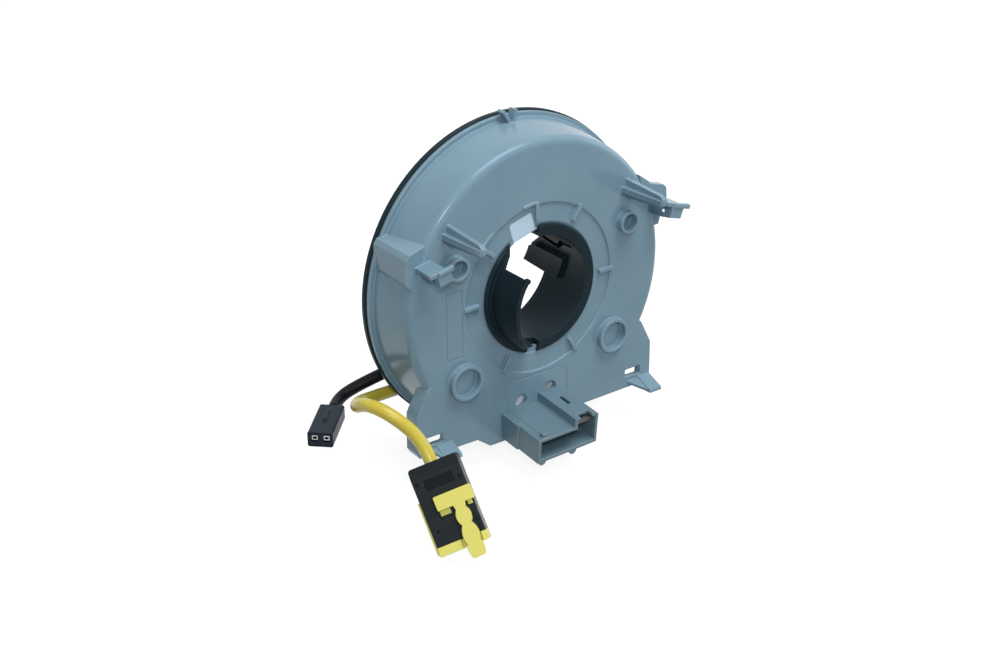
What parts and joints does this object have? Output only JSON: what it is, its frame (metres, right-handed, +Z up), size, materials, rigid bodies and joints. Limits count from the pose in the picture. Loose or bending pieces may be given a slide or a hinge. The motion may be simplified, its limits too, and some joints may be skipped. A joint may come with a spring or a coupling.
{
  "type": "steering clock spring",
  "caption": "Rotary ribbon connector for a steering column: grey cup with apron and clips, black turning hub and rear disc, yellow and black leads with plugs.",
  "frame": {"origin": "on the rotor axis, in the plane of the housing's flat column-side face", "axes": "+X to the right seen from the column side with the socket at the bottom, +Y back towards the steering wheel, +Z up"},
  "size_m": [0.138, 0.0835, 0.1178],
  "materials": {
    "housing_grey": "satin",
    "socket_grey": "satin",
    "pale_plastic": "smooth",
    "white_sheet": "smooth",
    "lock_bar_brown": "satin",
    "tinned_contact": "bright",
    "ribbon_film": "glossy film",
    "rotor_black": "satin",
    "brass_strip": "stamped",
    "screw_steel": "zinc",
    "lead_yellow": "smooth sheath",
    "lead_black": "smooth sheath",
    "plug_black": "satin",
    "plug_yellow": "satin",
    "wire_brown": "smooth"
  },
  "bodies": {
    "stator": {"housing": "housing_grey", "index_plate": "pale_plastic", "face_liner": "white_sheet", "socket_shell": "socket_grey", "socket_pins": "tinned_contact", "socket_lock_bar": "lock_bar_brown", "lead_frame": "white_sheet", "ribbon_cable": "ribbon_film"},
    "rotor": {"rotor_disc": "rotor_black", "hub_sleeve": "rotor_black", "disc_liner": "white_sheet", "ribbon_anchor": "rotor_black", "rotor_busbars": "brass_strip", "lead_cover": "rotor_black", "cover_screws": "screw_steel", "yellow_lead": "lead_yellow", "black_lead": "lead_black", "airbag_plug_body": "plug_black", "airbag_plug_base": "plug_yellow", "airbag_plug_terminals": "tinned_contact", "airbag_plug_shunt": "tinned_contact", "horn_plug_body": "plug_black", "horn_plug_terminals": "tinned_contact", "horn_wires": "wire_brown"},
    "plug_lock": {"airbag_plug_lock": "plug_yellow"}
  },
  "joints": [
    {"name": "rotor_turn", "type": "hinge", "parent": "stator", "child": "rotor", "pos_m": [0, 0, 0], "axis": [0, 1, 0], "range_deg": [-900, 900], "deforming": ["ribbon_cable"]},
    {"name": "plug_lock_slide", "type": "slide", "parent": "rotor", "child": "plug_lock", "axis": [0.0272, -0.5976, -0.8013], "range_m": [0, 0.0028]}
  ]
}
